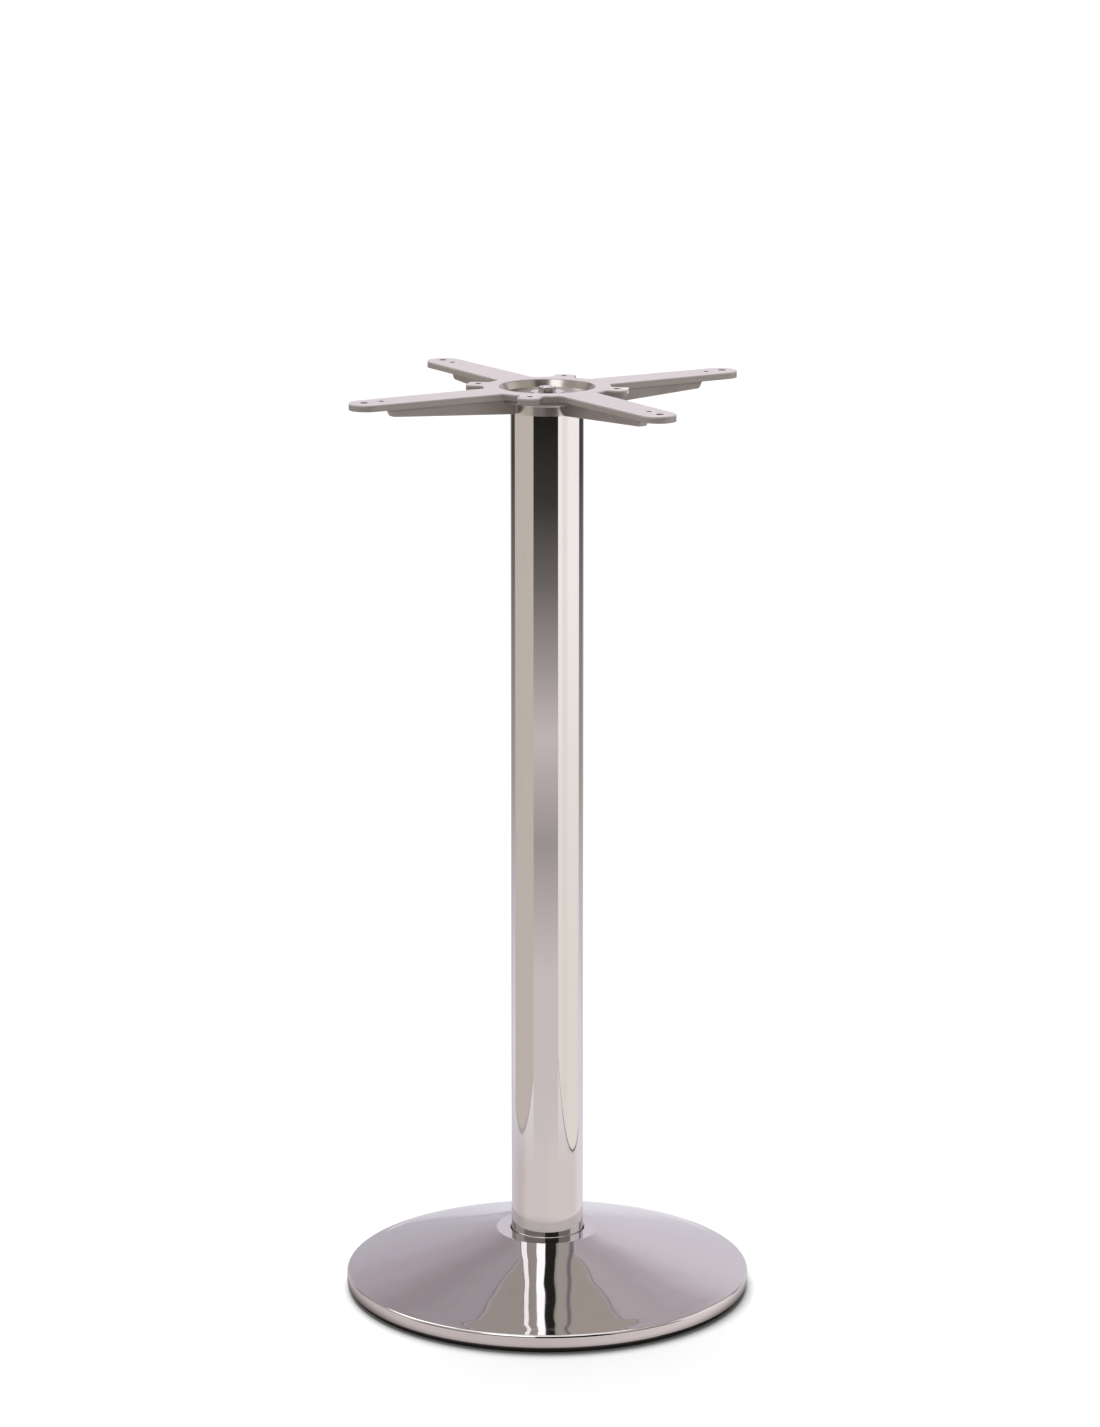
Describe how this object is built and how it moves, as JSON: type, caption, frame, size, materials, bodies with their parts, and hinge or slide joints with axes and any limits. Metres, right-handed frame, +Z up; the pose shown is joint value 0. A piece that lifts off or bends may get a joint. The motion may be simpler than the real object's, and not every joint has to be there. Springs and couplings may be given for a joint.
{
  "type": "pedestal table base",
  "caption": "Bar-height pedestal table base: weighted round foot under a chromed cone cover, straight chromed column, and a cast spider with arms and ears for screwing on a table top.",
  "frame": {"origin": "on the floor, at the column's axis", "axes": "+Z up along the column; the spider's arms lie along X and Y"},
  "size_m": [0.4838, 0.4838, 1.02],
  "materials": {
    "chrome": "bright chrome plate",
    "cast_aluminium": "linished casting, dish turned bright",
    "cast_iron": "black as-cast",
    "black_rubber": "matt",
    "zinc_plated_steel": "bright zinc plate"
  },
  "bodies": {
    "root": {"base_cover": "chrome", "column_tube": "chrome", "spider": "cast_aluminium", "ballast_disc": "cast_iron", "floor_ring": "black_rubber", "tie_rod": "zinc_plated_steel", "top_washer": "zinc_plated_steel", "top_nut": "zinc_plated_steel", "bottom_washer": "zinc_plated_steel", "bottom_nut": "zinc_plated_steel"}
  },
  "joints": []
}
